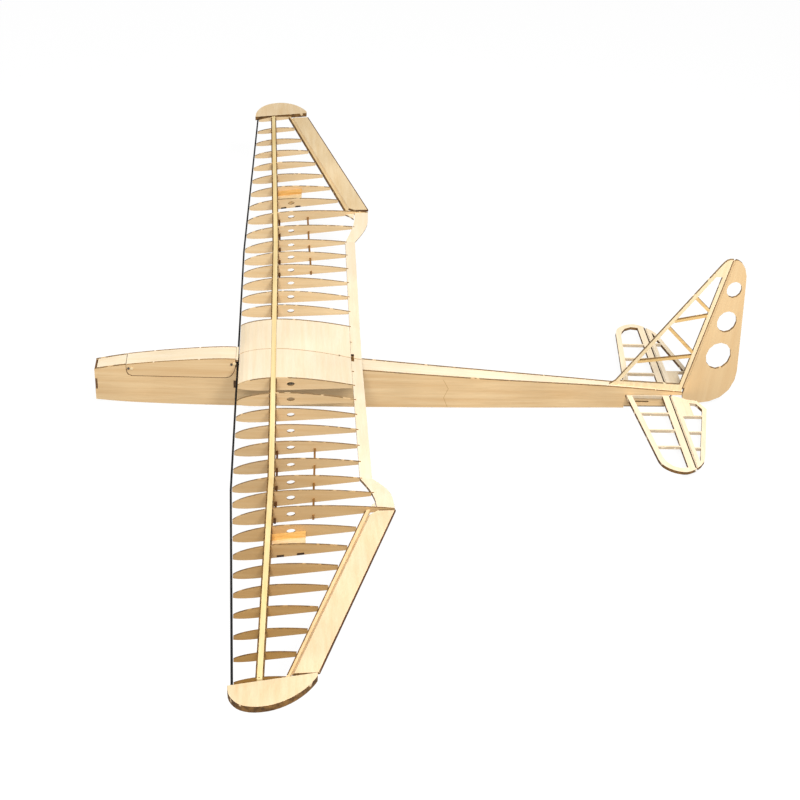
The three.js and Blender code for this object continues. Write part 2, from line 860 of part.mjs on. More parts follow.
function add(name, made, color) {
  const roughness = color === COLORS.carbon ? 0.35 : 0.8;
  const material = new THREE.MeshStandardMaterial({ color, roughness, metalness: 0 });
  const mesh = new THREE.Mesh(geometryOf(made), material);
  mesh.name = name;
  glider.add(mesh);
}

add("leading_edge_rod", leadingRod(), COLORS.carbon);
add("spar_cap_top", sparCap(true), COLORS.pine);
add("spar_cap_bottom", sparCap(false), COLORS.pine);
add("trailing_edge", trailingEdge(), COLORS.balsa);
add("center_sheet_front", centreSheet(ROD_RADIUS + 0.7, SPAR.aft - SPAR.width / 2 - GAP), COLORS.balsa);
add("center_sheet_rear", centreSheet(SPAR.aft + SPAR.width / 2 + GAP, TRAILING.front - GAP), COLORS.balsa);
for (const [hand, side] of [
  ["left", 1],
  ["right", -1],
]) {
  for (let k = FIRST_RIB; k <= LAST_RIB; k++) {
    add(`rib_${hand}_${String(k).padStart(2, "0")}`, rib(side, k), COLORS.cutBalsa);
  }
  add(`aileron_spar_${hand}`, subSpar(side), COLORS.cutBalsa);
  add(`aileron_${hand}`, aileron(side), COLORS.balsa);
  add(`wing_tip_${hand}`, tipPlate(side), COLORS.balsa);
  add(`servo_tray_${hand}`, servoTray(side), COLORS.pine);
  add(`fuselage_side_${hand}`, fuselageSide(side), COLORS.cutBalsa);
}
add("fuselage_bottom", deck(NOSE_X - FORMER - 0.6, LEDGE_END, "bottom", 60), COLORS.balsa);
add("tail_ledge", tailLedge(), COLORS.cutBalsa);
add("nose_deck", deck(NOSE_X - FORMER - 0.6, HATCH.front + 0.3, "top", 20), COLORS.balsa);
add("tail_deck", deck(SEAT.rear - GAP, TAIL_END, "top", 50), COLORS.balsa);
add("nose_former", noseFormer(), COLORS.ply);
add("wing_former", wingFormer(), COLORS.ply);
add("hatch", hatch(), COLORS.balsa);
add("stabilizer", stabilizer(), COLORS.balsa);
add("elevator", elevator(), COLORS.balsa);
add("fin", fin(), COLORS.balsa);
add("rudder", rudder(), COLORS.cutBalsa);

export default glider;
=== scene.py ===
import math

import bmesh
import bpy
from mathutils import Matrix, Vector


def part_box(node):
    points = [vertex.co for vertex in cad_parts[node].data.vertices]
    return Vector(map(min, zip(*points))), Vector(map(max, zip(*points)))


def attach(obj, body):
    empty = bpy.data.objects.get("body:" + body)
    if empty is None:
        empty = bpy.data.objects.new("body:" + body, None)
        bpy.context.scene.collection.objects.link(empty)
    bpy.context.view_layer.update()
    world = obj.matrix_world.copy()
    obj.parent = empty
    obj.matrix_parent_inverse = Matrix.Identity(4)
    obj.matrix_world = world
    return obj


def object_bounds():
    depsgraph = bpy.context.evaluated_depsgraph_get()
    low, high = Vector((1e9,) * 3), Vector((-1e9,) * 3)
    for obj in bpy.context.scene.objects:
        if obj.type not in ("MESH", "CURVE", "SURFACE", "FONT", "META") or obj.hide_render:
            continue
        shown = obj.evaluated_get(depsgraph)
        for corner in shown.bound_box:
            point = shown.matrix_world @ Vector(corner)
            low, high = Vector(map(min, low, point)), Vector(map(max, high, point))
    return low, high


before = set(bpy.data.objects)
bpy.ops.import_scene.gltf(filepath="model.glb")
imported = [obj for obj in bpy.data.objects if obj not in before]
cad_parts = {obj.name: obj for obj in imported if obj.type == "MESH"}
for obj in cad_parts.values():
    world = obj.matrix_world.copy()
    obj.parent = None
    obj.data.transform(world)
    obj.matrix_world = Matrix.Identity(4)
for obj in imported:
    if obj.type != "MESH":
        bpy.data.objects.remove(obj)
cad_box = [list(corner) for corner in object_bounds()]
MM = 0.001
AHEAD, SIDEWAYS, UP = Vector((1, 0, 0)), Vector((0, 1, 0)), Vector((0, 0, 1))

# ---- the wing surface, with the CAD's own driving dimensions, in mm ----
# A station counts ribs from the middle, positive to the left. Aft is measured from the leading edge.
BAY, OUTER_BAY, BREAK, FLARE_END, TIP = 41, 41.35, 8, 10, 18
DIHEDRAL = math.radians(8.5)
WING_RISE = 71.3
RIB, RIB_DEPTH, DEPTH_TAPER, NOSE_SHARE = 2.5, 22, 1.7, 0.33
CREST_AFT, TIP_CREST_AFT = 60, 30
SPAR_WIDTH, SPAR_HEIGHT, SPAR_AFT = 7, 3, 54
LEADING_SWEEP, SPAR_SWEEP = 1.54, 2.38
TRAILING_AFT, TRAILING_HEIGHT, TRAILING_SLOPE = 172.5, 4.5, 0.16
FLARE_DEPTH, FLARE_BAYS = 15.5, 1.7
SUB_SPAR_AFT, SUB_SPAR_TAPER = 173.4, 14.3
SHEET_FRONT, SHEET_REAR = (3, 49.5), (58.5, 172)
TRAY_STATION = 11.5


def outer_bays(k):
    return max(abs(k) - BREAK, 0)


def washout(k):
    return 0.02 + 0.13 * min(abs(k) / BREAK, 1)


def leading_x(k):
    return SPAR_AFT - LEADING_SWEEP * outer_bays(k)


def spar_aft(k):
    return SPAR_AFT - SPAR_SWEEP * outer_bays(k)


def rib_depth(k):
    return RIB_DEPTH - DEPTH_TAPER * max(abs(k) - FLARE_END, 0)


def crest_aft(k):
    return CREST_AFT - (CREST_AFT - TIP_CREST_AFT) * max(abs(k) - FLARE_END, 0) / (TIP - FLARE_END)


def sub_spar_aft(k):
    return SUB_SPAR_AFT - SUB_SPAR_TAPER * (abs(k) - FLARE_END)


def trailing_aft(k):
    """Front of the trailing edge, which flares aft beyond the break."""
    return TRAILING_AFT + FLARE_DEPTH * math.sin(min(outer_bays(k) / FLARE_BAYS, 1) * math.pi / 2)


def trailing_top(behind):
    """Height of the trailing edge's top, at a distance behind its front."""
    return TRAILING_HEIGHT - TRAILING_SLOPE * behind


def rib_tail(k):
    """Distance aft and height of a rib's rear end."""
    k = abs(k)
    if k < FLARE_END:
        return trailing_aft(k) - 0.6, 5
    if k == FLARE_END:
        return 208.5, 1.8
    return sub_spar_aft(k) - 1, 5.5


def upper(k, aft):
    depth, crest = rib_depth(k), crest_aft(k)
    if aft < crest:
        round_share = math.sqrt(max(0, 1 - (1 - aft / crest) ** 2))
        return depth * (NOSE_SHARE + (1 - NOSE_SHARE) * round_share)
    end, height = rib_tail(k)
    return depth - (depth - height) * ((aft - crest) / (end - crest)) ** 1.6


def lower(k, aft):
    flat_from = crest_aft(k) * 0.72
    if aft >= flat_from:
        return 0
    return rib_depth(k) * NOSE_SHARE * (1 - math.sqrt(1 - (1 - aft / flat_from) ** 2))


def on_wing(station, aft, height, across=0):
    side = -1 if station < 0 else 1
    k, bays = abs(station), outer_bays(station)
    lean = DIHEDRAL if k > BREAK else (DIHEDRAL / 2 if k == BREAK else 0)
    reach = min(k, BREAK) * BAY + bays * OUTER_BAY * math.cos(DIHEDRAL)
    rise = WING_RISE + bays * OUTER_BAY * math.sin(DIHEDRAL) + aft * washout(k)
    y = reach - height * math.sin(lean) + across * math.cos(lean)
    z = rise + height * math.cos(lean) + across * math.sin(lean)
    return Vector((leading_x(k) - aft, side * y, z)) * MM


TRAY_FRONT = spar_aft(TRAY_STATION) + SPAR_WIDTH / 2 + 2


# ---- procedural wood, carbon and metal ----
def linear(text):
    channels = [int(text[i : i + 2], 16) / 255 for i in (0, 2, 4)]
    return [c / 12.92 if c <= 0.04045 else ((c + 0.055) / 1.055) ** 2.4 for c in channels] + [1]


class Nodes:
    """A material's node tree, with short calls for the nodes used here."""

    def __init__(self, name):
        self.material = bpy.data.materials.new(name)
        self.material.use_nodes = True
        self.tree = self.material.node_tree
        self.shader = self.tree.nodes["Principled BSDF"]

    def put(self, socket, value):
        if isinstance(value, bpy.types.NodeSocket):
            self.tree.links.new(value, socket)
        else:
            socket.default_value = value

    def make(self, kind, inputs=(), **settings):
        node = self.tree.nodes.new(kind)
        for key, value in settings.items():
            setattr(node, key, value)
        for key, value in dict(inputs).items():
            self.put(node.inputs[key], value)
        return node

    def maths(self, operation, a, b=0.0):
        return self.make("ShaderNodeMath", {0: a, 1: b}, operation=operation).outputs[0]

    def size(self, value):
        return self.maths("ABSOLUTE", value)

    def noise(self, where, stretch, detail, rough=0.6):
        mapped = self.make("ShaderNodeMapping", {"Vector": where, "Scale": stretch}).outputs[0]
        inputs = {"Vector": mapped, "Scale": 1.0, "Detail": detail, "Roughness": rough}
        return self.make("ShaderNodeTexNoise", inputs).outputs["Fac"]

    def spread(self, value, low, high, to_low=0.0, to_high=1.0):
        inputs = {"Value": value, "From Min": low, "From Max": high, "To Min": to_low, "To Max": to_high}
        return self.make("ShaderNodeMapRange", inputs).outputs["Result"]

    def mix(self, share, a, b, kind="MIX"):
        node = self.make("ShaderNodeMix", data_type="RGBA", blend_type=kind)
        self.put(node.inputs[0], share)
        self.put(node.inputs[6], a)
        self.put(node.inputs[7], b)
        return node.outputs[2]

    def place(self):
        return self.make("ShaderNodeTexCoord").outputs["Object"]

    def finish(self, colour, roughness, height, strength, distance):
        """Links the colour and roughness, and a bump that is `distance` metres high."""
        self.put(self.shader.inputs["Base Color"], colour)
        self.put(self.shader.inputs["Roughness"], roughness)
        bump = self.make("ShaderNodeBump", {"Height": height, "Strength": strength, "Distance": distance})
        self.put(self.shader.inputs["Normal"], bump.outputs[0])
        return self.material


# The second colour is painted shade, laid over the ribs toward the left tip.
PORE, PAINTED_SHADE = "8C6234", "AE935A"
BURN_DARK, BURN_LIGHT = "50371A", "8C6534"


def grain(n, place, light, dark, along, fine):
    """Growth rings, fibres, soft patches and dark pores. Returns the rings, the fibres and the colour."""

    def stretch(on_grain, off_grain):
        return [on_grain if axis == along else off_grain for axis in "xyz"]

    rings = n.spread(n.noise(place, stretch(5, 150), 5, 0.62), 0.3, 0.78)
    fibres = n.noise(place, stretch(45, 1500), 3, 0.7)
    flecks = n.noise(place, stretch(160, 3200), 2, 0.5)
    patches = n.noise(place, [8, 8, 8], 2, 0.5)
    colour = n.mix(rings, linear(light), linear(dark))
    colour = n.mix(0.9 * fine, colour, n.spread(fibres, 0.25, 0.75, 0.9, 1.07), "MULTIPLY")
    colour = n.mix(0.9, colour, n.spread(patches, 0.3, 0.7, 0.9, 1.06), "MULTIPLY")
    pores = n.maths("MULTIPLY", n.spread(flecks, 0.66, 0.78), 0.3 * fine)
    return rings, fibres, n.mix(pores, colour, linear(PORE))


def edge_share(n, spot, facing, faces, limit, front_only, lighter_within):
    """How far a surface counts as a cut edge: 0 where it looks along one of `faces`, 1 elsewhere."""
    squarely = 0.0
    for axis in faces:
        squarely = n.maths("MAXIMUM", n.size(facing.outputs[axis.upper()]), squarely)
    edge = n.spread(squarely, limit, limit + 0.06, 1.0, 0.0)
    if front_only:
        edge = n.maths("MULTIPLY", edge, n.spread(facing.outputs["X"], 0.2, 0.4))
    if lighter_within:
        ends = n.spread(n.size(spot.outputs["Y"]), lighter_within, lighter_within + 0.006)
        fore_aft = n.spread(n.size(facing.outputs["X"]), 0.25, 0.45)
        kept = n.maths("MAXIMUM", n.maths("MAXIMUM", ends, fore_aft), 0.4)
        edge = n.maths("MULTIPLY", edge, kept)
    return edge


def wood(
    name, light, dark, along, faces, char=0.85, gaps=0.7, limit=0.72, roughness=0.72, fine=1.0,
    flank=None, painted_shade_left=False, front_only=False, lighter_within=None,
):
    """Sanded wood with its grain along one axis, charred brown wherever the surface doesn't face `faces`.

    char is the strength of the charring, gaps the noise level above which a tab is left uncharred, and
    limit how squarely a surface has to face. fine scales the fibres and pores. flank gives the colours of
    the surfaces that look sideways, painted_shade_left paints shade onto the wood toward the left tip,
    front_only chars the front edges alone, and lighter_within is the distance from the middle, in
    metres, inside which the edges that look sideways are charred less.
    """
    n = Nodes(name)
    where = n.make("ShaderNodeTexCoord")
    place = where.outputs["Object"]
    spot = n.make("ShaderNodeSeparateXYZ", {0: place})
    facing = n.make("ShaderNodeSeparateXYZ", {0: where.outputs["Normal"]})
    rings, fibres, colour = grain(n, place, light, dark, along, fine)
    # Painted shade: the wood is multiplied darker toward the left tip, where the light falls off.
    if painted_shade_left:
        colour = n.mix(n.spread(spot.outputs["Y"], -0.1, 0.75), colour, linear(PAINTED_SHADE), "MULTIPLY")
    if flank:
        other = n.mix(rings, *(linear(tone) for tone in flank))
        colour = n.mix(n.spread(n.size(facing.outputs["Y"]), 0.5, 0.6), colour, other)
    if char:
        edge = edge_share(n, spot, facing, faces, limit, front_only, lighter_within)
        blotches = n.spread(n.noise(place, [130, 130, 130], 3), 0.35, 0.65)
        burn = n.mix(blotches, linear(BURN_DARK), linear(BURN_LIGHT))
        tabs = n.spread(n.noise(place, [105, 105, 105], 0, 0.4), gaps, gaps + 0.02, 1.0, 0.0)
        amount = n.maths("MULTIPLY", n.maths("MULTIPLY", edge, tabs), char)
        colour = n.mix(amount, colour, burn)
    n.shader.inputs["Specular IOR Level"].default_value = 0.25
    rough = n.spread(fibres, 0.3, 0.7, roughness - 0.06, roughness + 0.08)
    return n.finish(colour, rough, fibres, 0.25, 0.0004)


def plywood(name, light, dark, along):
    """Thin plywood: close veneer grain, mottled by the glue layers."""
    n = Nodes(name)
    place = n.place()
    veneer = n.noise(place, [12 if axis == along else 420 for axis in "xyz"], 5, 0.65)
    layers = n.noise(place, [900, 900, 900], 2)
    colour = n.mix(n.spread(veneer, 0.35, 0.65), linear(light), linear(dark))
    colour = n.mix(0.8, colour, n.spread(layers, 0.3, 0.7, 0.82, 1.08), "MULTIPLY")
    return n.finish(colour, n.spread(veneer, 0.3, 0.7, 0.55, 0.68), veneer, 0.2, 0.0003)


def carbon(name):
    """Pultruded carbon, with its strands along the span."""
    n = Nodes(name)
    strands = n.noise(n.place(), [2600, 25, 2600], 3)
    colour = n.mix(n.spread(strands, 0.35, 0.65), linear("050506"), linear("111213"))
    n.shader.inputs["Specular IOR Level"].default_value = 0.2
    return n.finish(colour, n.spread(strands, 0.3, 0.7, 0.35, 0.5), strands, 0.15, 0.0002)


def metal(name, tone):
    n = Nodes(name)
    brushed = n.noise(n.place(), [1800, 1800, 1800], 3)
    colour = n.mix(n.spread(brushed, 0.3, 0.7), linear(tone), linear("6B6560"))
    n.put(n.shader.inputs["Base Color"], colour)
    n.shader.inputs["Metallic"].default_value = 0.9
    n.put(n.shader.inputs["Roughness"], n.spread(brushed, 0.3, 0.7, 0.25, 0.42))
    return n.material


CREAM, CREAM_DARK = "F9E8CC", "F2DAB3"
TAN, TAN_DARK = "F2D6AA", "E3BF8A"
SIDE, SIDE_DARK = "E6C798", "D2AA76"
SHADED, SHADED_DARK = "54381C", "3A2510"
looks = {
    # The ribs carry painted shade that darkens them toward the left tip.
    "rib": wood("rib_balsa", TAN, TAN_DARK, "x", "y", gaps=0.66, painted_shade_left=True),
    "side": wood("side_balsa", SIDE, SIDE_DARK, "x", "y"),
    "sheet": wood("sheet_balsa", CREAM, CREAM_DARK, "y", "z", fine=0.8),
    "deck": wood("deck_balsa", CREAM, CREAM_DARK, "x", "z"),
    "hatch": wood("hatch_balsa", CREAM, CREAM_DARK, "x", "yz", flank=(SIDE, SIDE_DARK)),
    "plate": wood("tip_balsa", "F1D9B3", "E2C292", "y", "z", char=1.0, gaps=0.73),
    "aileron": wood("aileron_balsa", "F4DAB4", "E7C698", "y", "z", char=1.0, gaps=0.73, limit=0.5),
    "aileron_tan": wood("aileron_tan", "F1D9B0", "E3C391", "y", "z", char=1.0, gaps=0.73, limit=0.5),
    "strip": wood("strip_balsa", "EFD3A2", "DFBA82", "y", "z", char=1.0, gaps=0.75, front_only=True),
    "tail": wood("tail_balsa", CREAM, CREAM_DARK, "y", "z", char=1.0, lighter_within=0.15),
    "fin": wood("fin_balsa", "F7E2BA", "EBCF9F", "z", "y"),
    "strut": wood("strut_balsa", "E9C686", "D2A462", "x", "y"),
    "rudder": wood("rudder_balsa", "E3C393", "DBB684", "z", "y", gaps=0.72, fine=0.7),
    "pine": wood("pine_spar", "F9E3AC", "EBC57C", "y", "yz", char=0.5, roughness=0.55),
    "web": wood("web_balsa", "B4884A", "8A6230", "y", "x", char=1.0, gaps=0.75),
    # Painted shade: the front webs take this darker wood for the shadow in front of the spar.
    "web_dark": wood("web_shaded", "8E6A38", "664720", "y", "x", char=1.0, gaps=0.75),
    "edge": wood("charred_edge", "A67B42", "7A5223", "x", "", char=0.0),
    "char": wood("charred_cut", "6A421D", "452A12", "y", "", char=0.0),
    "seam": wood("glue_seam", "C49A62", "9A713E", "x", "", char=0.0),
    "ply": plywood("orange_ply", "EFC178", "D7A04E", "x"),
    "brace": plywood("brace_ply", "9A6A2C", "6E4617", "y"),
    "tray": plywood("tray_ply", "F2DBAF", "DDBD86", "x"),
    "former": plywood("former_ply", "7E572C", "563717", "y"),
    # Painted shade: the bulkhead's faces that look sideways take the dark shaded colours.
    "bulkhead": wood("bulkhead_ply", "E9CB98", "D3AC74", "y", "", char=0.0, flank=(SHADED, SHADED_DARK)),
    "carbon": carbon("carbon_rod"),
    "steel": metal("steel_pin", "3A3632"),
    # Painted shade in holes, slots and the hinge gap, and the charred ends of the trays' tabs.
    "hole": wood("painted_shade_and_char", "3A2410", "241509", "x", "", char=0.0),
}


def paint(obj, look):
    if not obj.material_slots:
        obj.data.materials.append(looks[look])
    for slot in obj.material_slots:
        slot.material = looks[look]


# The first start that fits a node's name gives its look.
NODE_LOOKS = [
    ("rib_", "rib"),
    ("aileron_spar", "strip"),
    ("aileron_right", "aileron_tan"),
    ("aileron_left", "aileron"),
    ("wing_tip", "plate"),
    ("servo_tray", "tray"),
    ("fuselage_side", "side"),
    ("fuselage_bottom", "deck"),
    ("tail_ledge", "side"),
    ("nose_deck", "deck"),
    ("tail_deck", "deck"),
    ("hatch", "hatch"),
    ("center_sheet", "sheet"),
    ("trailing_edge", "sheet"),
    ("spar_cap", "pine"),
    ("leading_edge_rod", "carbon"),
    ("nose_former", "former"),
    ("wing_former", "bulkhead"),
    ("stabilizer", "tail"),
    ("elevator", "tail"),
    ("fin", "fin"),
    ("rudder", "rudder"),
]
for node_name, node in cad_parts.items():
    paint(node, next(look for start, look in NODE_LOOKS if node_name.startswith(start)))


# ---- pieces added to the CAD ----
class Piece:
    """Gathers closed bodies into one mesh."""

    def __init__(self):
        self.points, self.faces = [], []

    def loft(self, rings):
        start, size = len(self.points), len(rings[0])
        for ring in rings:
            self.points += ring
        for r in range(len(rings) - 1):
            for c in range(size):
                a, b = start + r * size + c, start + r * size + (c + 1) % size
                self.faces.append([a, b, b + size, a + size])
        self.faces.append([start + c for c in range(size)][::-1])
        last = start + (len(rings) - 1) * size
        self.faces.append([last + c for c in range(size)])

    def strip(self, points, width, proud, out, side):
        """A flat strip centred on the points, `proud` mm to each side of them, `width` wide along `side`."""
        half, rise = side * width * MM / 2, out * proud * MM
        self.loft([[p - half - rise, p + half - rise, p + half + rise, p - half + rise] for p in points])

    def rod(self, start, end, radius, sides):
        axis = (end - start).normalized()
        across = axis.orthogonal().normalized()
        other = axis.cross(across)
        turns = [2 * math.pi * i / sides for i in range(sides)]
        ring = [(across * math.cos(t) + other * math.sin(t)) * radius * MM for t in turns]
        self.loft([[start + p for p in ring], [end + p for p in ring]])

    def finish(self, name, look, body, slot, bevel=0.0):
        mesh = bpy.data.meshes.new(name)
        mesh.from_pydata(self.points, [], self.faces)
        obj = bpy.data.objects.new(name, mesh)
        bpy.context.scene.collection.objects.link(obj)
        work = bmesh.new()
        work.from_mesh(mesh)
        bmesh.ops.recalc_face_normals(work, faces=work.faces)
        work.to_mesh(mesh)
        work.free()
        if bevel:
            rounding = obj.modifiers.new("rounding", "BEVEL")
            rounding.width, rounding.segments, rounding.limit_method = bevel * MM, 2, "ANGLE"
        mesh.materials.append(looks[look])
        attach(obj, body)
        return obj


SIDES = ((1, "left"), (-1, "right"))


def spanwise(piece, stations, section):
    """Lofts a section, a list of (aft, height), along the span."""
    piece.loft([[on_wing(k, aft, height) for aft, height in section(k)] for k in stations])


def box_section(front, rear, low, high):
    return [(front, low), (rear, low), (rear, high), (front, high)]


def shear_webs():
    """Webs between the ribs, against the front and the rear of the spar caps."""
    thick, edge = 1.7, (RIB / 2 + 0.2) / BAY
    for name, look, rear in (("front", "web_dark", False), ("rear", "web", True)):

        def section(station, rear=rear):
            half = SPAR_WIDTH / 2 - 0.05 * outer_bays(station) + 0.08
            at = spar_aft(station) + (half if rear else -half - thick)
            return box_section(at, at + thick, 0.3, upper(station, spar_aft(station)) - 0.25)

        webs = Piece()
        for side, _ in SIDES:
            for k in range(TIP):
                spanwise(webs, (side * (k + edge), side * (k + 1 - edge)), section)
        webs.finish(f"shear_webs_{name}", look, "airframe", "balsa_cut")


def dihedral_braces():
    """Plywood braces across the break; the rear one's distance aft falls from station to station."""
    rear_aft = {5.9: 113.5, 7: 112.5, 8: 111, 9: 108.5, 10.1: 105.8}
    half = 1.4

    def front_section(k):
        return box_section(spar_aft(k) + 6, spar_aft(k) + 6 + 2 * half, 0.3, 7.4)

    def rear_section(k):
        return box_section(rear_aft[abs(k)] - half, rear_aft[abs(k)] + half, 0.2, 6.2)

    front, rear = Piece(), Piece()
    for side, _ in SIDES:
        stations = [side * k for k in rear_aft]
        spanwise(front, stations, front_section)
        spanwise(rear, stations, rear_section)
    front.finish("brace_front", "char", "airframe", "plywood")
    rear.finish("brace_rear", "brace", "airframe", "plywood")


def center_ribs():
    """The ribs under the centre sheeting, notched for the spar caps."""
    sheet, end, half = 1.7, 172, 1.2
    notch = SPAR_HEIGHT + 0.3
    front, rear = SPAR_AFT - SPAR_WIDTH / 2 - 0.3, SPAR_AFT + SPAR_WIDTH / 2 + 0.3
    for k in (-1, 0, 1):
        outline = [(a, upper(k, a) - sheet) for a in (2, 6, 14, 26, 40, front)]
        outline += [(front, upper(k, front) - notch), (rear, upper(k, rear) - notch)]
        outline += [(a, upper(k, a) - sheet) for a in (rear, 80, 110, 140, end)]
        outline += [(end, 0), (rear, 0), (rear, notch), (front, notch)]
        outline += [(a, lower(k, a)) for a in (front, 34, 20, 10, 4, 2)]
        rib = Piece()
        rib.loft([[on_wing(k, a, h) + SIDEWAYS * w * MM for a, h in outline] for w in (-half, half)])
        rib.finish(f"rib_center_{k + 1}", "rib", "airframe", "balsa_cut")


def tip_ribs():
    """The ribs against the tip plates."""
    end = sub_spar_aft(TIP) + 2
    outline = [(a, upper(TIP, a)) for a in (2, 4, 8, 14, 22, 30, 40, 50, end)]
    outline += [(end, 0.3)] + [(a, lower(TIP, a)) for a in (30, 20, 12, 6, 2)]
    for side, hand in SIDES:
        rib = Piece()
        spanwise(rib, (side * (TIP - 0.005), side * (TIP + 0.032)), lambda k: outline)
        rib.finish(f"rib_tip_{hand}", "rib", "airframe", "balsa_cut")


def tail_tabs():
    """The rib tails' small tabs, let into the front of the trailing edge."""
    corners = ((-1.1, -0.6), (1.1, -0.6), (1.1, 0.16), (-1.1, 0.16))
    tabs = Piece()
    for k in range(1 - FLARE_END, FLARE_END):
        rings = []
        for behind in (-0.2, 2.9):
            aft, top = trailing_aft(k) + behind, trailing_top(behind) + 0.05
            rings.append([on_wing(k, aft, top + up) + SIDEWAYS * across * MM for across, up in corners])
        tabs.loft(rings)
    tabs.finish("rib_tail_tabs", "edge", "airframe", "balsa_cut")


def center_seam():
    """The glue line between the halves of the sheeting and of the trailing edge."""
    proud = 0.16
    behind_spar = [on_wing(0, a, upper(0, a)) for a in (58.5, 75, 95, 115, 135, 155, 172)]
    before_spar = [on_wing(0, a, upper(0, a)) for a in (3, 8, 16, 28, 40, 49.5)]
    on_trailing = [on_wing(0, TRAILING_AFT + b, trailing_top(b)) for b in (0.2, 16.3)]
    seam = Piece()
    for points, width in ((behind_spar, 1.1), (before_spar, 0.8), (on_trailing, 1.1)):
        seam.strip(points, width, proud, UP, SIDEWAYS)
    seam.finish("center_seam", "seam", "airframe", "balsa_sheet")


def screw_hole():
    """The countersunk hole for the wing's screw, as a dark inset of painted shade."""
    profile = [(2.3, -0.5), (2.3, 0.12), (2.05, 0.2), (1.6, 0.1), (1.3, -0.3)]
    turns = [2 * math.pi * i / 20 for i in range(20)]
    middle = on_wing(0, 153, upper(0, 153))
    hole = Piece()
    rings = [[Vector((r * math.cos(t), r * math.sin(t), up)) * MM for t in turns] for r, up in profile]
    hole.loft([[middle + p for p in ring] for ring in rings])
    hole.finish("wing_screw_hole", "hole", "airframe", "balsa_sheet")


def trailing_details():
    """The slot in front of the trailing edge beside the seam, and the block that fills its other side."""
    notch, block = Piece(), Piece()
    # The slot is a dark box of painted shade.
    spanwise(notch, (-0.24, -0.12), lambda k: box_section(172.6, 177.2, 1.0, 4.65))
    spanwise(block, (-0.115, 0.24), lambda k: box_section(172.6, 177, 1.0, 4.6))
    notch.finish("trailing_slot", "hole", "airframe", "balsa_sheet", 0.25)
    block.finish("trailing_block", "web", "airframe", "balsa_cut", 0.3)


def lower_sheeting():
    """Sheeting under the centre bays, before and behind the spar."""
    under = Piece()
    for front, rear in (SHEET_FRONT, SHEET_REAR):
        steps = [front + (rear - front) * i / 6 for i in range(7)]

        def section(k, steps=steps):
            top = [(a, lower(k, a) - 0.1) for a in steps]
            return top + [(a, lower(k, a) - 1.5) for a in reversed(steps)]

        for side, _ in SIDES:
            spanwise(under, (side * 0.48, side * 1.95), section)
    under.finish("center_sheet_under", "sheet", "airframe", "balsa_sheet")


def flare_gussets():
    """Gussets in the corner between rib 10 and the flared trailing edge."""
    end, middle, inner = FLARE_END - 0.045, FLARE_END - 0.2, FLARE_END - 0.42
    corners = ((end, 186.6), (end, 172), (middle, 179.5), (inner, 186.4))
    for side, hand in SIDES:
        gusset = Piece()
        gusset.loft([[on_wing(side * k, aft, height) for k, aft in corners] for height in (0.4, 3.4)])
        gusset.finish(f"gusset_{hand}", "sheet", "airframe", "balsa_sheet")


def servo_rails():
    """Two rails along each servo tray, one against each rib."""
    width, outer = 5.3, BAY / 2 - RIB / 2 - 0.35
    for side, hand in SIDES:
        rails = Piece()
        for inner in (-outer, outer - 5.25):
            corners = box_section(inner, inner + width, 1.0, 9.5)
            rings = []
            for aft in (TRAY_FRONT - 0.2, TRAY_FRONT + 42.2):
                rings.append([on_wing(side * TRAY_STATION, aft, up, across) for across, up in corners])
            rails.loft(rings)
        rails.finish(f"servo_rails_{hand}", "ply", "airframe", "plywood")


def tray_tabs():
    """The charred ends of the trays' tabs, showing through the ribs on both sides."""
    length = 8.9
    for side, hand in SIDES:
        tabs = Piece()
        for start in (TRAY_FRONT + 6, TRAY_FRONT + 31):
            corners = box_section(start, start + length, 0.95, 3.15)
            for end in (1, -1):
                rings = []
                for across in (21.9, 23.2):
                    rings.append([on_wing(side * TRAY_STATION, a, h, end * across) for a, h in corners])
                tabs.loft(rings)
        tabs.finish(f"tray_tabs_{hand}", "hole", "airframe", "plywood")


def aileron_edges():
    """The charred rear corner and inner end of each aileron."""

    def rear_corner(k):
        rear = sub_spar_aft(k) + 40 - 0.57 * (abs(k) - FLARE_END)
        return box_section(rear - 1.3, rear + 0.12, 0.1, 3.1)

    def inner_end(k):
        front = sub_spar_aft(k) + 15.2
        rear = front + 24.4
        return [(front, 0.1), (rear, 0.1), (rear, 2.9), (front + 2.6, 5.2), (front, 2.9)]

    for side, hand in SIDES:
        edge = Piece()
        spanwise(edge, (side * 10.14, side * 17.88), rear_corner)
        spanwise(edge, (side * 10.113, side * 10.145), inner_end)
        edge.finish(f"aileron_{hand}_edge", "char", f"aileron_{hand}", "balsa_cut")


def strip_edges():
    """The charred front corner of the strip before each aileron."""

    def corner(k):
        return box_section(sub_spar_aft(k) - 0.1, sub_spar_aft(k) + 1.4, 5, 5.62)

    for side, hand in SIDES:
        edge = Piece()
        spanwise(edge, (side * 10.05, side * 17.95), corner)
        edge.finish(f"strip_edge_{hand}", "web", "airframe", "balsa_cut", 0.12)


def elevator_hinge_line():
    """Painted shade along the elevator's sanded hinge corner, as far out as the frame's rear edge reaches.
    """
    rear = -0.6249
    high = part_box("stabilizer")[1].z
    frame_points = [v.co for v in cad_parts["stabilizer"].data.vertices]
    reach = max(p.y for p in frame_points if p.x < rear + 0.0004)
    corner = Piece()
    for side, _ in SIDES:
        line = [Vector((rear, side * y, high)) for y in (0.0085, 0.1, reach - 0.003)]
        corner.strip(line, 1.9, 0.1, UP, AHEAD)
    corner.finish("elevator_hinge_line", "hole", "airframe", "balsa_cut")


def rudder_hinge_line():
    """The dark corner along the raked rudder hinge, painted shade in the charred colour."""
    post = Piece()
    line = [Vector((-644.5 - 0.162 * (z - 30), 0, z)) * MM for z in (33, 267)]
    post.strip(line, 1.3, 2.1, SIDEWAYS, AHEAD)
    post.finish("rudder_hinge_line", "char", "airframe", "balsa_cut", 0.15)


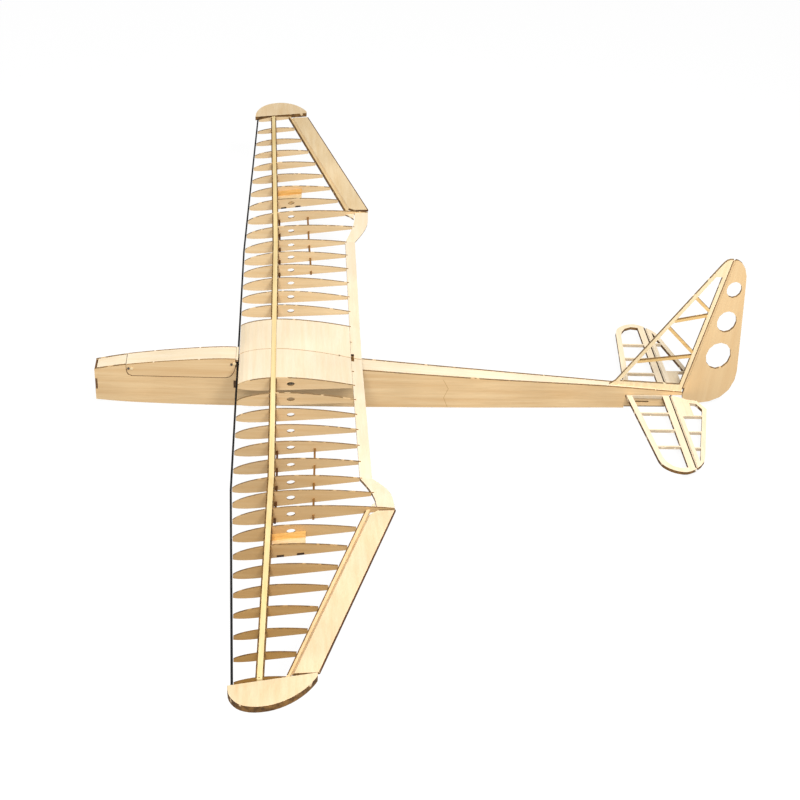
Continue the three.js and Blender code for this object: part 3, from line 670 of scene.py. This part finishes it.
# ---- fuselage details: x, half width and top edge of the body, from nose to tail ----
BODY = [
    (270, 15, 61), (225, 16, 70), (139, 17.3, 80.4), (57, 18, 84.7),
    (-138, 17.5, 67.8), (-323, 14.5, 53.5), (-523, 8.8, 40.2), (-645, 7, 32),
]


def half_width(x):
    for (xa, wa, _), (xb, wb, _) in zip(BODY, BODY[1:]):
        if x >= xb:
            return wa + (wb - wa) * (xa - x) / (xa - xb)
    return BODY[-1][1]


def body_top(x):
    """Top edge of the fuselage at x, on the CAD's own smooth curve."""
    i = next(n for n in range(len(BODY) - 1) if x >= BODY[n + 1][0])

    def slope(n):
        (xa, _, za), (xb, _, zb) = BODY[max(n - 1, 0)], BODY[min(n + 1, len(BODY) - 1)]
        return (zb - za) / (xb - xa)

    (xa, _, za), (xb, _, zb) = BODY[i], BODY[i + 1]
    span = xb - xa
    t = (x - xa) / span
    if xa > 0 > xb:
        return za + (zb - za) * t
    rise = (2 * t**3 - 3 * t**2 + 1) * za + (3 * t**2 - 2 * t**3) * zb
    return rise + (t**3 - 2 * t**2 + t) * span * slope(i) + (t**3 - t**2) * span * slope(i + 1)


def line_on_side(piece, side, points, width, proud):
    """A strip on the body's side, from point to point, each given as x and z."""
    ends = [Vector((x, side * half_width(x), z)) * MM for x, z in points]
    for a, b in zip(ends, ends[1:]):
        piece.strip([a, b], width, proud, SIDEWAYS, (b - a).cross(SIDEWAYS).normalized())


def side_splice():
    """The zigzag joint between the two boards of each side."""
    zigzag = [(-262, 52), (-271, 35.5), (-265, 18.8), (-272, 0.8)]
    splice = Piece()
    for side, _ in SIDES:
        line_on_side(splice, side, zigzag, 0.6, 0.06)
    splice.finish("side_splice", "seam", "airframe", "balsa_cut")


def hatch_edges():
    """The charred top edges of the hatch cheeks, in three runs with gaps between them."""
    rear, front = (corner.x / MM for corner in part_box("hatch"))
    gap, inset = 1.2, 0.4
    steps = [rear + inset + (front - rear - 2 * inset) * i / 12 for i in range(13)]
    edges = Piece()
    for side, _ in SIDES:
        for first, last in ((0, 4), (4, 9), (9, 12)):
            run = steps[first : last + 1]
            run[0] += gap if first else 0
            run[-1] -= gap if last < 12 else 0
            line = [Vector((x, side * (half_width(x) - 0.95), body_top(x) + 0.05)) * MM for x in run]
            edges.strip(line, 1.8, 0.1, UP, SIDEWAYS)
    edges.finish("hatch_edges", "edge", "hatch", "balsa_cut")


def hatch_cut():
    """The hatch's cut outline in the side: down the front, along the bottom and up the rear."""
    (rear, _, low), (front, _, _) = (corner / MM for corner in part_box("hatch"))
    outline = [(front, 66), (front, low + 12), (front - 0.9, low + 6.2), (front - 3.4, low + 2.2)]
    outline += [(x, low) for x in (front - 9, front - 40, front - 80, front - 120, rear + 16)]
    outline += [(rear + 10, low + 1.6), (rear + 6, low + 5.4), (rear + 2.9, low + 11)]
    outline += [(rear + 1, low + 17), (rear, low + 24), (rear, body_top(rear) - 0.3)]
    cut = Piece()
    for side, _ in SIDES:
        line_on_side(cut, side, outline, 0.9, 0.07)
    cut.finish("hatch_cut", "char", "hatch", "balsa_cut")


def saddle_cap():
    """The strip that closes the top of the body between the hatch and the wing's sheeting."""
    front, rear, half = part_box("hatch")[0].x - 0.0002, 0.0534, half_width(56) * MM
    corners = box_section(-half, half, 0.0806, 0.0845)
    cap = Piece()
    cap.loft([[Vector((x, y, z)) for y, z in corners] for x in (front, rear)])
    cap.finish("saddle_cap", "deck", "airframe", "balsa_sheet", 0.4)


def fin_struts():
    """Slightly thicker facings of harder wood on the fin's struts."""
    lines = [((-565.7, 83.0), (-648.5, 94.8)), ((-605.1, 146.4), (-649.7, 102.1))]
    lines += [((-612.3, 158.0), (-660.6, 169.3)), ((-638.5, 200.2), (-662.0, 178.0))]
    facings = Piece()
    for (xa, za), (xb, zb) in lines:
        a, b = Vector((xa, 0, za)) * MM, Vector((xb, 0, zb)) * MM
        facings.strip([a, b], 4.8, 2.15, SIDEWAYS, (b - a).cross(SIDEWAYS).normalized())
    facings.finish("fin_struts", "strut", "airframe", "balsa_cut")


def pins():
    """The steel pins at the hatch's ends, each with a pale washer behind it."""
    steel, ring = Piece(), Piece()
    for side, _ in SIDES:
        out = SIDEWAYS * side * MM
        for x, z, apart, above in ((218.6, 64.2, -4.6, 0), (63.4, 75.8, -4.4, 1.2)):
            at = Vector((x, side * half_width(x), z)) * MM
            steel.rod(at - out, at + out * 1.4, 1.8, 16)
            at = Vector((x + apart, side * half_width(x + apart), z + above)) * MM
            ring.rod(at - out * 0.4, at + out * 0.9, 2.6, 20)
    ring.finish("pin_washers", "tray", "hatch", "balsa_sheet", 0.15)
    steel.finish("hatch_pins", "steel", "hatch", "carbon", 0.2)


shear_webs()
dihedral_braces()
center_ribs()
tip_ribs()
tail_tabs()
center_seam()
screw_hole()
trailing_details()
lower_sheeting()
flare_gussets()
servo_rails()
tray_tabs()
aileron_edges()
strip_edges()
elevator_hinge_line()
rudder_hinge_line()
side_splice()
hatch_edges()
hatch_cut()
saddle_cap()
fin_struts()
pins()

# ---- floor, light and camera ----
FLOOR_HALF, FLOOR_DROP = 9, 0.0006
floor_mesh = bpy.data.meshes.new("floor")
floor_corners = [(x * FLOOR_HALF, y * FLOOR_HALF, 0) for x, y in ((-1, -1), (1, -1), (1, 1), (-1, 1))]
floor_mesh.from_pydata(floor_corners, [], [(0, 1, 2, 3)])
floor = bpy.data.objects.new("floor", floor_mesh)
floor.location.z = cad_box[0][2] - FLOOR_DROP
bpy.context.scene.collection.objects.link(floor)
pale = Nodes("pale_floor")
pale.shader.inputs["Base Color"].default_value = (0.14, 0.14, 0.14, 1)
pale.shader.inputs["Roughness"].default_value = 0.9
pale.shader.inputs["Specular IOR Level"].default_value = 0.0
pale.shader.inputs["Emission Color"].default_value = (1, 1, 1, 1)
pale.shader.inputs["Emission Strength"].default_value = 0.9
floor_mesh.materials.append(pale.material)
floor.visible_diffuse = False

world = bpy.data.worlds.new("studio")
bpy.context.scene.world = world
world.use_nodes = True
world.node_tree.nodes["Background"].inputs["Color"].default_value = (1, 1, 1, 1)
world.node_tree.nodes["Background"].inputs["Strength"].default_value = 0.36


def softbox(name, place, target, size, power):
    light = bpy.data.lights.new(name, "AREA")
    light.shape, light.size, light.energy = "DISK", size, power
    obj = bpy.data.objects.new(name, light)
    obj.location = place
    obj.rotation_euler = (Vector(target) - Vector(place)).to_track_quat("-Z", "Y").to_euler()
    bpy.context.scene.collection.objects.link(obj)


middle = (Vector(cad_box[0]) + Vector(cad_box[1])) / 2
softbox("key", (-0.75, 0.8, 1.6), (-0.05, -0.1, 0), 0.6, 20)
softbox("fill", (0.5, 4.0, 3.6), middle, 2.0, 182)

CAMERA_PLACE = Vector((-0.0047, 1.8630, 1.3026))
CAMERA_AIM = Vector((-0.0851, -0.8170, -0.5703))
CAMERA_TILT = math.radians(4.295)
camera_data = bpy.data.cameras.new("camera")
camera_data.sensor_width, camera_data.lens = 36, 65.3
camera_data.clip_start, camera_data.clip_end = 0.05, 60
camera = bpy.data.objects.new("camera", camera_data)
forward = CAMERA_AIM.normalized()
level = forward.cross(UP).normalized()
right = level * math.cos(CAMERA_TILT) + level.cross(forward) * math.sin(CAMERA_TILT)
turned = Matrix((right, right.cross(forward), -forward)).transposed()
camera.matrix_world = Matrix.Translation(CAMERA_PLACE) @ turned.to_4x4()
bpy.context.scene.collection.objects.link(camera)
bpy.context.scene.camera = camera
bpy.context.scene.view_settings.view_transform = "Standard"
